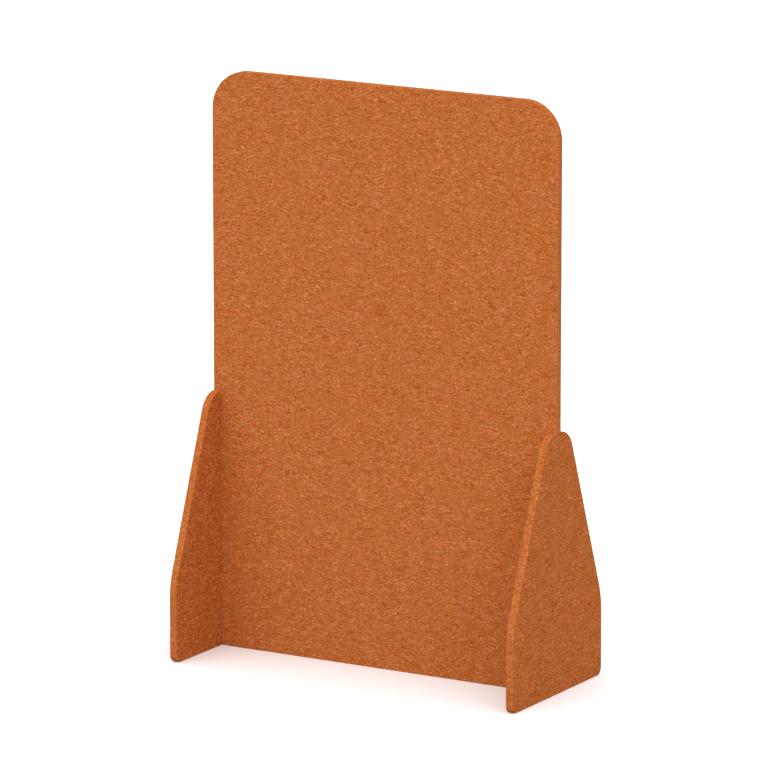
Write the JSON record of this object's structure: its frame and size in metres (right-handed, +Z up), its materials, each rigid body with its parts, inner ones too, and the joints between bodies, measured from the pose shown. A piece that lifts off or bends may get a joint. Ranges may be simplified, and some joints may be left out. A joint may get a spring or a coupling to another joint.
{
  "type": "acoustic divider screen",
  "caption": "Free-standing acoustic divider screen of pressed felt: a tall, round-cornered panel dropped into slotted wedge-shaped side wings that stand flush with its ends.",
  "frame": {"origin": "on the floor, at the middle of the footprint", "axes": "+X runs along the panel, to the right as seen from the front; -Y is the front; +Z is up"},
  "size_m": [1.2, 0.548, 1.8],
  "materials": {
    "felt": "matte pressed felt board, rust orange melange of light and dark fibres",
    "beech": "bare turned beech"
  },
  "bodies": {
    "wings": {"left_wing": "felt", "right_wing": "felt", "left_dowel": "beech", "right_dowel": "beech"},
    "panel": {"main_panel": "felt"}
  },
  "joints": [
    {"name": "panel_lift", "type": "slide", "parent": "wings", "child": "panel", "axis": [0, 0, 1], "range_m": [0, 0.42]}
  ]
}
